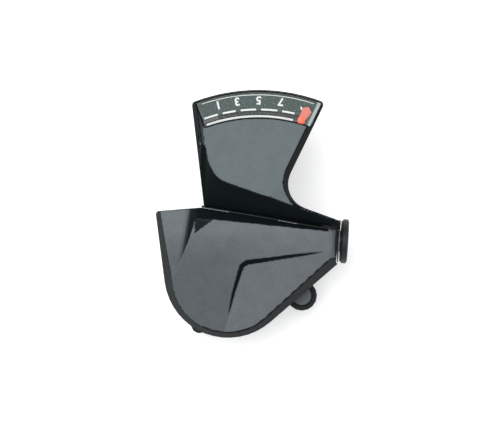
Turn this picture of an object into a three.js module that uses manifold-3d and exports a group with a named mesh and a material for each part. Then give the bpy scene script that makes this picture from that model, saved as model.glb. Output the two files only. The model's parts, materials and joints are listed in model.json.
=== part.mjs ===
// Right-hand trigger shifter with an optical gear display, in millimetres, +Z up.
// Origin: centre of the handlebar clamp. The handlebar lies along X, +Y points at the rider
// and +X points inboard, where the cable leaves.
import * as THREE from 'three';
import { mergeVertices } from 'three/addons/utils/BufferGeometryUtils.js';
import Module from 'manifold-3d';

const wasm = await Module();
wasm.setup();

// ---- Driving dimensions ----------------------------------------------------------------
const GAP = 0.3;                       // between pieces that rest on or pass each other
const WALL = 1.3;                      // wall of the moulded covers

const BAR_RADIUS = 11.1;               // 22.2 mm handlebar
const BAND_THICKNESS = 2;
const BAND_WIDTH = 15;
const EAR_THICKNESS = 2.6;
const CLAMP_BOLT_RADIUS = 2.5;

const AXLE = { x: -5.25, y: -37.2 };   // axis of the drum and both levers
const AXLE_RADIUS = 3;
const CABLE_RADIUS = 11.94;            // 2.5 mm of cable for each 12 degree step
const STEP_ANGLE = 12;
const GEARS = 9;
const CABLE_Z = -0.8;
const CABLE_ANGLE = -3.5;              // direction of the cable in plan

const COVER_RADIUS = 19.45;            // round nose of the top cover, concentric with the axle
const LEFT_TANGENT = 187.4;            // where the nose meets the left edge
const DIAGONAL_TANGENT = 310.8;        // where it meets the diagonal edge
const LEFT_EDGE = 21.6;
const DIAGONAL_EDGE = 27.1;
const COVER_RIM_Z = -1;
const RIM_WIDTH = 2.6;
const PANEL_EDGE_Z = 13.6;             // back edge of the main panel
const VALLEY_Z = 11.4;                 // seam between the top cover and the display housing

const PIVOT = { x: 3.85, y: -36.3 };   // axis of the gear pointer
const POINTER_RATIO = 0.3;             // pointer degrees for each drum degree
const POINTER_REST = 74.1;             // direction of the pointer at the highest gear
const DRIVE_PIN_REACH = 5.8;
const DRIVE_PIN_RADIUS = 0.8;
const DRIVE_PIN_REST = 120.8;

const DISPLAY_RADIUS = 54.4;
const DISPLAY_TOP_Z = 19.3;
const DISPLAY_BOTTOM_Z = 13.3;
const SIDE_DRAFT = 1.7;                // how far the sloped sides lean in
const SIDE_DRAFT_HEIGHT = 4;
const NECK = { x: 20.4, y: -10.2, r: 7.6 };
const POCKET = { inner: 45.9, outer: 53.8, depth: 2.8, left: 110.4, right: 64 };
const SLOT_RADIUS = 47.5;
const SLOT_WIDTH = 0.8;

const BODY_TOP_Z = COVER_RIM_Z - GAP;
const BODY_BOTTOM_Z = -8.8;
const FLOOR_THICKNESS = 2.4;
const BODY_INSET = 0.9;
const BODY_WALL = 1.8;
const PLATE_THICKNESS = 1.6;

const DRUM_TOP_Z = 2;
const DRUM_THICKNESS = 5.6;
const DRUM_FLANGE = 12.9;
const RATCHET_THICKNESS = 2.1;
const TOOTH_TIP = 14.2;
const TOOTH_ROOT = 12.8;
const PAWL_PIVOT_RADIUS = 16.2;
const PAWL_LENGTH = 5.3;
const PAWL_LEAN = 18;                  // the finger leans in towards the teeth
const FEED_PAWL_ANGLE = -22;
const POSITION_PAWL_ANGLE = 50;
const LEVER_STROKE = 36;

const MAIN_PAD = { angle: -119.2, reach: 18.1, tip: 2.6, inner: 8.6, bottom: -24.5 };
const RELEASE_TAB = { angle: -16.9, reach: 23.4, r: 4.65, bottom: -22.5 };

const KNOB_RADIUS = 6.7;
const KNOB_LENGTH = 2.3;
const KNOB_GROOVE = 0.5;
const NECK_BOSS_RADIUS = 6.3;
const NECK_END = COVER_RADIUS + 12.95; // the cable outlet ends just past the cover
const NECK_START = NECK_END - 12.4;
const FERRULE_RADIUS = 3.1;

// ---- Colours and finishes ---------------------------------------------------------------
const finish = (color, roughness, metalness = 0) => ({ color, roughness, metalness });
const COVER_PLASTIC = finish(0x6f7679, 0.5);
const BLACK_PLASTIC = finish(0x23282a, 0.55);
const INNER_PLASTIC = finish(0x30363a, 0.6);
const PAD_RUBBER = finish(0x2f3a39, 0.8);
const GREY_INSERT = finish(0x667072, 0.55);
const CLEAR_PLASTIC = finish(0xb8c8c2, 0.1);
const ORANGE_PLASTIC = finish(0xe8642a, 0.45);
const STEEL = finish(0x9a9d9e, 0.35, 1);
const DARK_STEEL = finish(0x4b4f51, 0.4, 1);
const BRASS = finish(0xa98d4e, 0.35, 1);
const ALUMINIUM = finish(0x2c2f31, 0.45, 1);

// ---- Shape helpers ----------------------------------------------------------------------
const MERGE = 1e-3;
const ARC_STEP = 18;
const LARGE_RADIUS = 4;
const FINE_ARC_STEP = 8;
const FAR = 60;
const radians = THREE.MathUtils.degToRad;
const degrees = THREE.MathUtils.radToDeg;
const polar = (centre, radius, angle) => new THREE.Vector2(
  centre.x + radius * Math.cos(radians(angle)),
  centre.y + radius * Math.sin(radians(angle)));

function toSolid(geometry) {
  const bare = geometry.clone();
  bare.deleteAttribute('normal');
  bare.deleteAttribute('uv');
  const merged = mergeVertices(bare, MERGE);
  const corners = merged.index.array;
  const kept = [];
  for (let i = 0; i < corners.length; i += 3) {
    const [a, b, c] = [corners[i], corners[i + 1], corners[i + 2]];
    if (a !== b && b !== c && c !== a) kept.push(a, b, c);
  }
  return new wasm.Manifold(new wasm.Mesh({
    numProp: 3,
    vertProperties: new Float32Array(merged.attributes.position.array),
    triVerts: new Uint32Array(kept),
  }));
}

function toGeometry(solid) {
  const mesh = solid.getMesh();
  const geometry = new THREE.BufferGeometry();
  geometry.setAttribute('position', new THREE.BufferAttribute(mesh.vertProperties, 3));
  geometry.setIndex(new THREE.BufferAttribute(mesh.triVerts, 1));
  geometry.computeVertexNormals();
  return geometry;
}

const join = (...solids) => solids.reduce((whole, solid) => whole.add(solid));
const cut = (solid, ...tools) => tools.reduce((whole, tool) => whole.subtract(tool), solid);

// An outline of straight edges whose corners are filleted. The inset moves each edge inwards
// by its own share k, and fillets keep their centres.
function outline(corners, inset = 0) {
  const count = corners.length;
  const edges = corners.map((corner, i) => {
    const next = corners[(i + 1) % count];
    const along = new THREE.Vector2(next.x - corner.x, next.y - corner.y).normalize();
    const inward = new THREE.Vector2(-along.y, along.x);
    const start = new THREE.Vector2(corner.x, corner.y);
    return { along, start: start.addScaledVector(inward, inset * (corner.k ?? 1)) };
  });
  const points = [];
  corners.forEach((corner, i) => {
    const before = edges[(i + count - 1) % count];
    const after = edges[i];
    const crossing = before.along.cross(after.along);
    const turn = Math.atan2(crossing, before.along.dot(after.along));
    const vertex = after.start.clone();
    if (Math.abs(crossing) > MERGE) {
      const apart = after.start.clone().sub(before.start);
      const distance = apart.cross(after.along) / crossing;
      vertex.copy(before.start).addScaledVector(before.along, distance);
    }
    if (!corner.r) {
      points.push(vertex);
      return;
    }
    const side = Math.sign(turn);
    const radius = Math.max(corner.r - side * inset * (corner.k ?? 1), 0.3);
    const reach = radius * Math.tan(Math.abs(turn) / 2);
    const start = vertex.clone().addScaledVector(before.along, -reach);
    const normal = new THREE.Vector2(-before.along.y, before.along.x).multiplyScalar(side);
    const centre = start.clone().addScaledVector(normal, radius);
    const arcStep = corner.r > LARGE_RADIUS ? FINE_ARC_STEP : ARC_STEP;
    const steps = Math.max(2, Math.ceil(degrees(Math.abs(turn)) / arcStep));
    for (let k = 0; k <= steps; k += 1) {
      points.push(start.clone().rotateAround(centre, turn * k / steps));
    }
  });
  return points;
}

function prism(points, low, high) {
  const geometry = new THREE.ExtrudeGeometry(new THREE.Shape(points), {
    depth: high - low, bevelEnabled: false,
  });
  return toSolid(geometry.translate(0, 0, low));
}

// A closed skin through sections that all have the same number of points.
function loft(sections) {
  const size = sections[0].length;
  const positions = sections.flat().flatMap((p) => [p.x, p.y, p.z]);
  const index = [];
  for (let s = 0; s + 1 < sections.length; s += 1) {
    for (let i = 0; i < size; i += 1) {
      const a = s * size + i;
      const b = s * size + (i + 1) % size;
      index.push(a, b, b + size, a, b + size, a + size);
    }
  }
  const cap = capTriangles(sections[0]);
  const last = (sections.length - 1) * size;
  cap.forEach(([a, b, c]) => {
    index.push(a, c, b, last + a, last + b, last + c);
  });
  const geometry = new THREE.BufferGeometry();
  geometry.setAttribute('position', new THREE.Float32BufferAttribute(positions, 3));
  geometry.setIndex(index);
  const solid = toSolid(geometry);
  if (solid.volume() > 0) return solid;
  geometry.setIndex(index.reverse());
  return toSolid(geometry);
}

function capTriangles(section) {
  const normal = new THREE.Vector3();
  section.forEach((p, i) => {
    const q = section[(i + 1) % section.length];
    normal.add(new THREE.Vector3().crossVectors(p, q));
  });
  const axis = normal.clone().normalize();
  const u = new THREE.Vector3(axis.y, axis.z, axis.x).cross(axis).normalize();
  const v = new THREE.Vector3().crossVectors(axis, u);
  const flat = section.map((p) => new THREE.Vector2(p.dot(u), p.dot(v)));
  return THREE.ShapeUtils.triangulateShape(flat, []);
}

const atHeight = (points, height) => points.map((p) => new THREE.Vector3(
  p.x, p.y, typeof height === 'function' ? height(p.x, p.y) : height));

// Everything above a sloping surface, within an outline in plan.
const above = (points, surface) => loft([atHeight(points, surface), atHeight(points, FAR)]);

// Everything above a ruled surface between two lines with the same number of points.
const aboveRuled = (first, second) => loft(first.map((p, i) => [
  p, second[i],
  new THREE.Vector3(second[i].x, second[i].y, FAR),
  new THREE.Vector3(p.x, p.y, FAR),
]));

function planeThrough(p, q, r) {
  const normal = q.clone().sub(p).cross(r.clone().sub(p));
  return (x, y) => p.z - (normal.x * (x - p.x) + normal.y * (y - p.y)) / normal.z;
}

function disc(centre, radius, low, high, segments = 20) {
  const geometry = new THREE.CylinderGeometry(radius, radius, high - low, segments);
  geometry.rotateX(Math.PI / 2).translate(centre.x, centre.y, (low + high) / 2);
  return toSolid(geometry);
}

const ring = (centre, outer, inner, low, high, segments = 20) => cut(
  disc(centre, outer, low, high, segments),
  disc(centre, inner, low - 1, high + 1, segments));

function block(low, high) {
  const size = high.map((value, i) => value - low[i]);
  const geometry = new THREE.BoxGeometry(...size);
  return toSolid(geometry.translate(...low.map((value, i) => value + size[i] / 2)));
}

// A profile of (radius, height) points turned about a vertical axis.
function turned(centre, profile, segments = 26) {
  const points = [...profile, profile[0]].map(([r, z]) => new THREE.Vector2(r, z));
  const geometry = new THREE.LatheGeometry(points, segments);
  return toSolid(geometry.rotateX(Math.PI / 2).scale(1, 1, 1).translate(centre.x, centre.y, 0));
}

function arcPoints(centre, radius, from, to, step = 4) {
  const steps = Math.max(1, Math.ceil(Math.abs(to - from) / step));
  return Array.from({ length: steps + 1 }, (_, k) => polar(
    centre, radius, from + (to - from) * k / steps));
}

// A band between two radii and two directions.
const sector = (centre, inner, outer, from, to) => [
  ...arcPoints(centre, outer, from, to), ...arcPoints(centre, inner, to, from)];

// A bar of even width with round ends, from one point to another.
function bar(from, to, half, low, high) {
  const along = degrees(Math.atan2(to.y - from.y, to.x - from.x));
  return prism([
    ...arcPoints(to, half, along - 90, along + 90, 20),
    ...arcPoints(from, half, along + 90, along + 270, 20)], low, high);
}

// A wire along a curve.
function wire(points, radius, steps) {
  const section = new THREE.Shape(arcPoints({ x: 0, y: 0 }, radius, 0, 300, 60));
  return new THREE.ExtrudeGeometry(section, {
    steps, bevelEnabled: false, extrudePath: new THREE.CatmullRomCurve3(points),
  });
}

function coil(centre, radius, low, turns, pitch, wireRadius) {
  const perTurn = 10;
  const count = Math.round(turns * perTurn);
  const points = Array.from({ length: count + 1 }, (_, k) => {
    const p = polar(centre, radius, 360 * k / perTurn);
    return new THREE.Vector3(p.x, p.y, low + pitch * k / perTurn);
  });
  return wire(points, wireRadius, count);
}

// ---- The cable line: local +X runs along it, from where it leaves the drum ----------------
const cableStart = polar(AXLE, CABLE_RADIUS, 90 + CABLE_ANGLE);

function alongCable(geometry) {
  return geometry.rotateZ(radians(CABLE_ANGLE)).translate(cableStart.x, cableStart.y, CABLE_Z);
}

const cableRod = (radius, from, to, segments = 24) => {
  const rod = new THREE.CylinderGeometry(radius, radius, to - from, segments);
  return toSolid(alongCable(rod.rotateZ(Math.PI / 2).translate((from + to) / 2, 0, 0)));
};

// ---- Outlines in plan ---------------------------------------------------------------------
const onNose = (angle) => polar(AXLE, COVER_RADIUS, angle);
const noseHalf = (DIAGONAL_TANGENT - LEFT_TANGENT) / 2;
const noseCorner = polar(AXLE, COVER_RADIUS / Math.cos(radians(noseHalf)), LEFT_TANGENT + noseHalf);
const coverBackLeft = polar(onNose(LEFT_TANGENT), LEFT_EDGE, LEFT_TANGENT - 90);
const coverRight = polar(onNose(DIAGONAL_TANGENT), DIAGONAL_EDGE, DIAGONAL_TANGENT + 90);

// The seam: the cover's back edge, and the display housing's front edge 0.9 mm behind it.
const SEAM_WIDTH = 0.9;
const seamRight = polar(coverRight, 10.1, 90 + CABLE_ANGLE);
const seam = [
  seamRight,
  new THREE.Vector2(20.6, -23),
  new THREE.Vector2(5.3, -20.3),
  new THREE.Vector2(-13.4, -17.2),
];
const valleyZ = (x) => VALLEY_Z - 0.065 * Math.max(x, 0);

const coverCorners = [
  { x: seamRight.x, y: seamRight.y, r: 0.5 },
  { x: seam[1].x, y: seam[1].y },
  { x: seam[2].x, y: seam[2].y },
  { x: seam[3].x, y: seam[3].y },
  { x: coverBackLeft.x, y: coverBackLeft.y, r: 0.9 },
  { x: noseCorner.x, y: noseCorner.y, r: COVER_RADIUS },
  { x: coverRight.x, y: coverRight.y, r: 1 },
];

// The display housing: an arc about the pointer's pivot, a straight left side, a right side
// that turns through a concave neck into the arm over the cable outlet.
const NECK_FROM = 154.1;
const NECK_TO = 250;
const neckHalf = (NECK_TO - NECK_FROM) / 2;
const neckCorner = polar(NECK, NECK.r / Math.cos(radians(neckHalf)), NECK_FROM + neckHalf);
const sideAngle = NECK_FROM - 90;
const armStart = polar(NECK, NECK.r, NECK_TO);
const armEnd = polar(armStart, 11.5, NECK_TO + 90);
const leftFoot = new THREE.Vector2(-12.5, -16.4);
const LEFT_SIDE_ANGLE = 96.8;

function meetRim(point, angle) {
  const away = new THREE.Vector2(point.x - PIVOT.x, point.y - PIVOT.y);
  const along = polar({ x: 0, y: 0 }, 1, angle);
  const half = away.dot(along);
  const distance = -half + Math.sqrt(half * half - away.lengthSq() + DISPLAY_RADIUS ** 2);
  return polar(point, distance, angle);
}

const rimAngle = (p) => degrees(Math.atan2(p.y - PIVOT.y, p.x - PIVOT.x));
const rimRight = meetRim(neckCorner, sideAngle);
const rimLeft = meetRim(leftFoot, LEFT_SIDE_ANGLE);
const rimPoints = arcPoints(PIVOT, DISPLAY_RADIUS, rimAngle(rimRight), rimAngle(rimLeft), 3.6);

function seamAt(x) {
  const slope = (seamRight.y - seam[1].y) / (seamRight.x - seam[1].x);
  return seam[1].y + slope * (x - seam[1].x);
}

function displayCorners(frontShift) {
  const front = (p) => ({ x: p.x + 0.1, y: p.y + SEAM_WIDTH - frontShift, k: 0 });
  return [
    { x: armEnd.x, y: armEnd.y, k: 0.8 },
    { x: neckCorner.x, y: neckCorner.y, r: NECK.r, k: 1 },
    ...rimPoints.map((p, i) => ({
      x: p.x,
      y: p.y,
      k: i < rimPoints.length - 1 ? 0.25 : 0.9,
      r: i === 0 || i === rimPoints.length - 1 ? 1.2 : 0,
    })),
    { x: leftFoot.x, y: leftFoot.y - frontShift, k: 0 },
    front(seam[2]),
    front(seam[1]),
    { ...front({ x: armEnd.x, y: seamAt(armEnd.x) }), x: armEnd.x },
  ];
}

const displayOutline = displayCorners(0);

// ---- Top cover ----------------------------------------------------------------------------
const panelLeft = new THREE.Vector3(-9.75, -20.9, PANEL_EDGE_Z);
const panelRight = new THREE.Vector3(27.1, -24.7, PANEL_EDGE_Z - 2.4);
const panelFront = new THREE.Vector3(-4, -53.2, 7);
const panelZ = planeThrough(panelLeft, panelRight, panelFront);
const COVER_TOP_Z = 16;

// The facet behind the crease: lowest at the crease's corner, level with the panel at its tips.
const creaseRight = new THREE.Vector2(25.5, -30.2);
const creaseFront = new THREE.Vector2(-5.7, -51.8);
const creaseCorner = new THREE.Vector2(0.2, -33.2);
const CREASE_DEPTH = 1.1;
const CREASE_WIDTH = 1.2;

function onPanel(p, drop = 0) {
  return new THREE.Vector3(p.x, p.y, panelZ(p.x, p.y) - drop);
}

function topCover() {
  const seamPlane = planeThrough(
    new THREE.Vector3(-10, -17.7, VALLEY_Z), panelLeft, panelRight);
  const body = loft([
    atHeight(outline(coverCorners), COVER_RIM_Z),
    atHeight(outline(coverCorners), 0),
    atHeight(outline(coverRimCorners, RIM_WIDTH), 9.5),
    atHeight(outline(coverRimCorners, RIM_WIDTH + 0.9), COVER_TOP_Z),
  ]);
  const backStrip = [
    new THREE.Vector2(-30, -12), new THREE.Vector2(-30, -21.5),
    new THREE.Vector2(panelLeft.x - 2.2, -21.7), new THREE.Vector2(panelLeft.x, panelLeft.y),
    new THREE.Vector2(panelRight.x, panelRight.y), new THREE.Vector2(32, -25.2),
    new THREE.Vector2(32, -12),
  ];
  const facet = [creaseRight, new THREE.Vector2(7.6, -32.3), creaseCorner,
    new THREE.Vector2(-1.6, -34.4), new THREE.Vector2(-3.9, -42.7), creaseFront];
  const facetZ = planeThrough(onPanel(creaseRight), onPanel(creaseFront),
    onPanel(creaseCorner, CREASE_DEPTH));
  const everywhere = outline(coverCorners, -3);
  const steps = facet.slice(0, -1).map((p, i) => creaseStep(p, facet[i + 1]));
  const sunken = steps.reduce(
    (solid, step) => solid.intersect(above(everywhere, step)), above(facet, facetZ));
  const shaped = cut(body,
    above(everywhere, panelZ),
    above(backStrip, seamPlane),
    sunken,
    sideHollow());
  const inner = cut(
    loft([
      atHeight(outline(coverCorners, WALL), COVER_RIM_Z - 1),
      atHeight(outline(coverCorners, WALL), 0),
      atHeight(outline(innerRimCorners, RIM_WIDTH + WALL), 9.5 - WALL),
    ]),
    above(everywhere, (x, y) => panelZ(x, y) - WALL - CREASE_DEPTH),
    above(backStrip, (x, y) => seamPlane(x, y) - 2 * WALL),
    sideHollow(WALL));
  const posts = coverPosts.map((p) => disc(
    p, POST_RADIUS, BODY_BOTTOM_Z + FLOOR_THICKNESS + GAP, COVER_TOP_Z, 14));
  const postsInside = join(...posts).intersect(join(shaped, lowerPrism()));
  const pointerWindow = block([-5.6, -26.2, COVER_RIM_Z - 1], [12.9, -14, 7.4]);
  const clampNotch = block([-6.2, -21, COVER_RIM_Z - 1], [6.2, -14, 4]);
  return cut(join(cut(shaped, inner), postsInside),
    pointerWindow, clampNotch,
    cableRod(NECK_BOSS_RADIUS + GAP, NECK_START - 2, NECK_END + 8),
    cableRod(KNOB_RADIUS + GAP, NECK_END - GAP / 3, NECK_END + 8),
    ...coverPosts.map((p) => disc(p, 1.1, BODY_BOTTOM_Z, 2.5, 12)));
}

const coverRimCorners = coverCorners.map((corner, i) => ({ ...corner, k: i < 4 ? 0 : 0.85 }));
coverRimCorners[5] = { ...coverRimCorners[5], k: 1 };
const innerRimCorners = coverRimCorners.map((corner) => ({
  ...corner, k: Math.max(corner.k, WALL / (RIM_WIDTH + WALL)) }));

const lowerPrism = () => prism(outline(coverCorners, WALL), BODY_BOTTOM_Z, 1);

// The hollow in the left side of the cover: a round scoop that fades out towards the nose.
function sideHollow(deeper = 0) {
  const radius = 10.5 - deeper;
  const from = new THREE.Vector3(-23.6, -12, 16.6);
  const to = new THREE.Vector3(-29.2, -46, 20.4);
  const length = from.distanceTo(to);
  const scoop = new THREE.CylinderGeometry(radius + deeper * 2, radius + deeper * 2, length, 40);
  scoop.applyQuaternion(new THREE.Quaternion().setFromUnitVectors(
    new THREE.Vector3(0, 1, 0), from.clone().sub(to).normalize()));
  const middle = from.clone().add(to).multiplyScalar(0.5);
  return toSolid(scoop.translate(middle.x, middle.y, middle.z));
}

// The sloping step down from the panel on one side of the crease.
function creaseStep(from, to) {
  const inward = new THREE.Vector2(from.y - to.y, to.x - from.x).normalize()
    .multiplyScalar(CREASE_WIDTH);
  return planeThrough(onPanel(from), onPanel(to), onPanel(to.clone().add(inward), CREASE_DEPTH));
}

// Where screws from below hold the top cover.
const coverPosts = [{ x: -21.6, y: -24 }, { x: 24.4, y: -33.9 }, polar(AXLE, 17, 215)];
const POST_RADIUS = 2.1;

// ---- Display housing ------------------------------------------------------------------------
const creaseSweep = new THREE.SplineCurve([
  [-12.1, 1.4], [-11.3, -3.5], [-9.3, -7], [-6.6, -9.3], [-2.4, -10.9],
  [4.05, -13.1], [14.6, -16.9],
].map(([x, y]) => new THREE.Vector2(x, y)));
const crease = [
  [-14.5, 3], ...creaseSweep.getPoints(13).map((p) => p.toArray()), [29.5, -22.4],
];
const armDrop = (x, y) => DISPLAY_TOP_Z - 0.3 * Math.max(0, (x - 12) * 0.75 - (y + 8) * 0.66);

function seamPointBelow(x) {
  const line = [seam[0], seam[1], seam[2], seam[3]];
  const i = x > line[1].x ? 0 : (x > line[2].x ? 1 : 2);
  const t = (x - line[i].x) / (line[i + 1].x - line[i].x);
  return line[i].y + (line[i + 1].y - line[i].y) * t + SEAM_WIDTH;
}

function frontSlope(drop = 0) {
  const upper = crease.map(([x, y]) => new THREE.Vector3(x, y, armDrop(x, y) - drop));
  const lower = crease.map(([x, y]) => {
    const edge = seamPointBelow(x);
    const rise = (armDrop(x, y) - valleyZ(x)) / (y - edge);
    return new THREE.Vector3(x, edge - 4, valleyZ(x) - 4 * rise - drop);
  });
  return aboveRuled(lower, upper);
}

function displayHousing() {
  const clearTop = DISPLAY_TOP_Z - SIDE_DRAFT_HEIGHT;
  const shell = loft([
    atHeight(outline(displayOutline), 5.5),
    atHeight(outline(displayOutline), clearTop),
    atHeight(outline(displayOutline, SIDE_DRAFT), DISPLAY_TOP_Z),
  ]);
  const armRegion = [
    new THREE.Vector2(12, -8), new THREE.Vector2(-1, -24),
    new THREE.Vector2(34, -24), new THREE.Vector2(34, -8),
  ];
  const lip = cut(
    prism(outline(displayCorners(0.6)), 5.5, COVER_TOP_Z),
    above(outline(displayCorners(3)), (x) => valleyZ(x) - 0.5));
  const outer = join(cut(shell, above(armRegion, armSlope), frontSlope()), lip);
  const inside = outline(displayCorners(3), WALL);
  const underPocket = sector(PIVOT, POCKET.inner - WALL, POCKET.outer + 4, 50, 130);
  const inner = cut(
    prism(inside, 0, DISPLAY_TOP_Z - WALL),
    above(armRegion, (x, y) => armSlope(x, y) - 1.6),
    frontSlope(1.1),
    prism(underPocket, pocketFloor - 0.8, FAR));
  const pocket = prism(
    sector(PIVOT, POCKET.inner, POCKET.outer, POCKET.right, POCKET.left), pocketFloor, FAR);
  const saddle = new THREE.CylinderGeometry(BAND_RADIUS + GAP, BAND_RADIUS + GAP, 90, 48);
  const posts = cut(
    join(...displayPosts.map((p) => disc(p, 2.1, DISPLAY_PLATE_TOP + GAP,
      DISPLAY_TOP_Z - WALL / 2, 14))),
    frontSlope(WALL / 2));
  const screwHoles = cut(
    join(...displayPosts.map((p) => disc(p, 0.9, DISPLAY_PLATE_TOP, DISPLAY_TOP_Z - 2, 10))),
    frontSlope(1));
  return cut(join(cut(outer, inner), posts),
    pocket, pointerSlot(pocketFloor),
    toSolid(saddle.rotateZ(Math.PI / 2)),
    block([-40, -4, 0], [40, 30, DISPLAY_BOTTOM_Z]),
    screwHoles);
}

const BAND_RADIUS = BAR_RADIUS + BAND_THICKNESS;
const armSlope = planeThrough(
  new THREE.Vector3(12, -8, DISPLAY_TOP_Z),
  new THREE.Vector3(12 - 0.66 * 10, -8 - 0.75 * 10, DISPLAY_TOP_Z),
  new THREE.Vector3(12 + 0.75 * 10, -8 - 0.66 * 10, DISPLAY_TOP_Z - 3));
const pocketFloor = DISPLAY_TOP_Z - POCKET.depth;
const DISPLAY_PLATE_LOW = DISPLAY_BOTTOM_Z + 0.1;
const DISPLAY_PLATE_TOP = DISPLAY_PLATE_LOW + 0.8;
const displayPosts = [{ x: -10.9, y: 4.6 }, { x: -10.6, y: -5.8 }];
const pointerSweep = (GEARS - 1) * STEP_ANGLE * POINTER_RATIO;

function pointerSlot(low) {
  return prism(sector(PIVOT, SLOT_RADIUS - SLOT_WIDTH / 2, SLOT_RADIUS + SLOT_WIDTH / 2,
    POINTER_REST - 1.3, POINTER_REST + pointerSweep + 1.3), low - 3, DISPLAY_TOP_Z);
}

// ---- Scale plate and lens ---------------------------------------------------------------------
const SCALE_LOW = pocketFloor + 0.2;
const SCALE_TOP = SCALE_LOW + 0.5;
const LENS_LOW = DISPLAY_TOP_Z - 1;
const LENS_TOP = DISPLAY_TOP_Z - 0.1;
const inPocket = (play) => sector(PIVOT, POCKET.inner + play, POCKET.outer - play,
  POCKET.right, POCKET.left - play);

function housingSides(play) {
  return loft([
    atHeight(outline(displayOutline, play), DISPLAY_BOTTOM_Z),
    atHeight(outline(displayOutline, play), DISPLAY_TOP_Z - SIDE_DRAFT_HEIGHT),
    atHeight(outline(displayOutline, SIDE_DRAFT + play), DISPLAY_TOP_Z),
  ]);
}

function scalePlate() {
  const plate = prism(inPocket(0.15), SCALE_LOW, SCALE_TOP).intersect(housingSides(0.9));
  return cut(plate, pointerSlot(pocketFloor));
}

function displayLens() {
  const plate = prism(inPocket(0.15), LENS_LOW, LENS_TOP);
  const endWall = cut(prism(inPocket(0.15), SCALE_TOP + 0.2, LENS_TOP), housingSides(0.75));
  const rightHalf = block([0, -10, 0], [30, 30, FAR]);
  return join(plate, endWall.intersect(rightHalf)).intersect(housingSides(0.1));
}

// ---- Indicator base -----------------------------------------------------------------------------
const INDICATOR_LOW = 3.4;
const INDICATOR_TOP = 4.4;
const RAMP_FROM = 19.5;
const RAMP_TO = 27;
const indicatorPosts = [{ x: 14.9, y: -36 }, { x: 10.2, y: -23.6 }];
const drivePin = (swing) => polar(PIVOT, DRIVE_PIN_REACH, DRIVE_PIN_REST + swing);

function indicatorBase() {
  const formed = turned(PIVOT, [
    [1.2, INDICATOR_LOW], [RAMP_FROM, INDICATOR_LOW], [RAMP_TO, DISPLAY_PLATE_LOW],
    [52.2, DISPLAY_PLATE_LOW], [52.2, DISPLAY_PLATE_TOP], [RAMP_TO - 0.8, DISPLAY_PLATE_TOP],
    [RAMP_FROM - 0.8, INDICATOR_TOP], [1.2, INDICATOR_TOP],
  ], 54);
  const upper = prism(outline(displayCorners(0), WALL + 0.4), -FAR, FAR)
    .intersect(block([-20, -17, -FAR], [30, 30, FAR]));
  const strip = block([-4.8, -27, -FAR], [9.8, -15, FAR]);
  const web = indicatorPosts.map((p) => bar(p, PIVOT, 2.4, -FAR, FAR));
  const hub = disc(PIVOT, 9.5, -FAR, FAR);
  const plan = join(upper, strip, hub, ...web);
  const pinSlot = Array.from({ length: 7 }, (_, k) => drivePin(pointerSweep * k / 6));
  const slots = pinSlot.slice(1).map((p, k) => bar(pinSlot[k], p, 1.2, 0, 10));
  return cut(formed.intersect(plan), frontSlope(2.4),
    disc(PIVOT, 1.25, 0, 10, 16), ...slots,
    ...indicatorPosts.map((p) => disc(p, 1.15, 0, 10, 12)),
    ...displayPosts.map((p) => disc(p, 1.15, 10, 20, 12)));
}

// ---- Pointer ------------------------------------------------------------------------------------
const ARM_LOW = INDICATOR_TOP + GAP;
const ARM_THICKNESS = 0.9;
const ARM_TOP_LOW = DISPLAY_PLATE_TOP + GAP;
const FLAG_LOW = SCALE_TOP + GAP;
const FLAG_TOP = FLAG_LOW + 0.5;
const ARM_LEAN = 6.9;                  // the arm leaves the pivot this far to the left of its flag

function pointer() {
  const along = POINTER_REST + ARM_LEAN;
  const side = [
    [0, ARM_LOW], [RAMP_FROM - 1.2, ARM_LOW], [RAMP_TO - 1.2, ARM_TOP_LOW], [52, ARM_TOP_LOW],
    [52, ARM_TOP_LOW + ARM_THICKNESS], [RAMP_TO - 1.7, ARM_TOP_LOW + ARM_THICKNESS],
    [RAMP_FROM - 1.7, ARM_LOW + ARM_THICKNESS], [0, ARM_LOW + ARM_THICKNESS],
  ].map(([r, z]) => new THREE.Vector2(r, z));
  const profile = new THREE.ExtrudeGeometry(new THREE.Shape(side), {
    depth: 40, bevelEnabled: false,
  });
  profile.translate(0, 0, -20).rotateX(Math.PI / 2).rotateZ(radians(along));
  const route = [[0, along], [30, along], [40, POINTER_REST + 3.4], [SLOT_RADIUS, POINTER_REST]];
  const bends = route.map(([r, angle]) => polar(PIVOT, r, angle));
  const plan = join(...bends.slice(1).map((p, k) => bar(bends[k], p, 0.65, -FAR, FAR)));
  const arm = plan.intersect(toSolid(profile.translate(PIVOT.x, PIVOT.y, 0)));
  const atFlag = polar(PIVOT, SLOT_RADIUS, POINTER_REST);
  const riser = bar(polar(atFlag, 0.4, POINTER_REST - 90), polar(atFlag, 0.4, POINTER_REST + 90),
    0.22, ARM_TOP_LOW + 0.2, FLAG_TOP);
  const flag = [
    ...arcPoints(polar(PIVOT, SLOT_RADIUS - 0.3, POINTER_REST), 1.05, 150, 340, 24),
    polar(PIVOT, 48.7, POINTER_REST - 2.2),
    polar(PIVOT, 50.2, POINTER_REST - 2.7),
    polar(PIVOT, 51.5, POINTER_REST - 1.2),
    polar(PIVOT, 50.9, POINTER_REST + 0.6),
    polar(PIVOT, 49, POINTER_REST + 0.9),
  ];
  const pin = drivePin(0);
  return cut(
    join(disc(PIVOT, 2.6, ARM_LOW, ARM_LOW + ARM_THICKNESS), arm, riser,
      prism(flag, FLAG_LOW, FLAG_TOP),
      bar(PIVOT, pin, 1, ARM_LOW, ARM_LOW + ARM_THICKNESS),
      disc(pin, DRIVE_PIN_RADIUS, DRUM_TOP_Z - 0.9, ARM_LOW + 0.3, 16)),
    disc(PIVOT, 1.25, 0, 10, 16));
}

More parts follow.
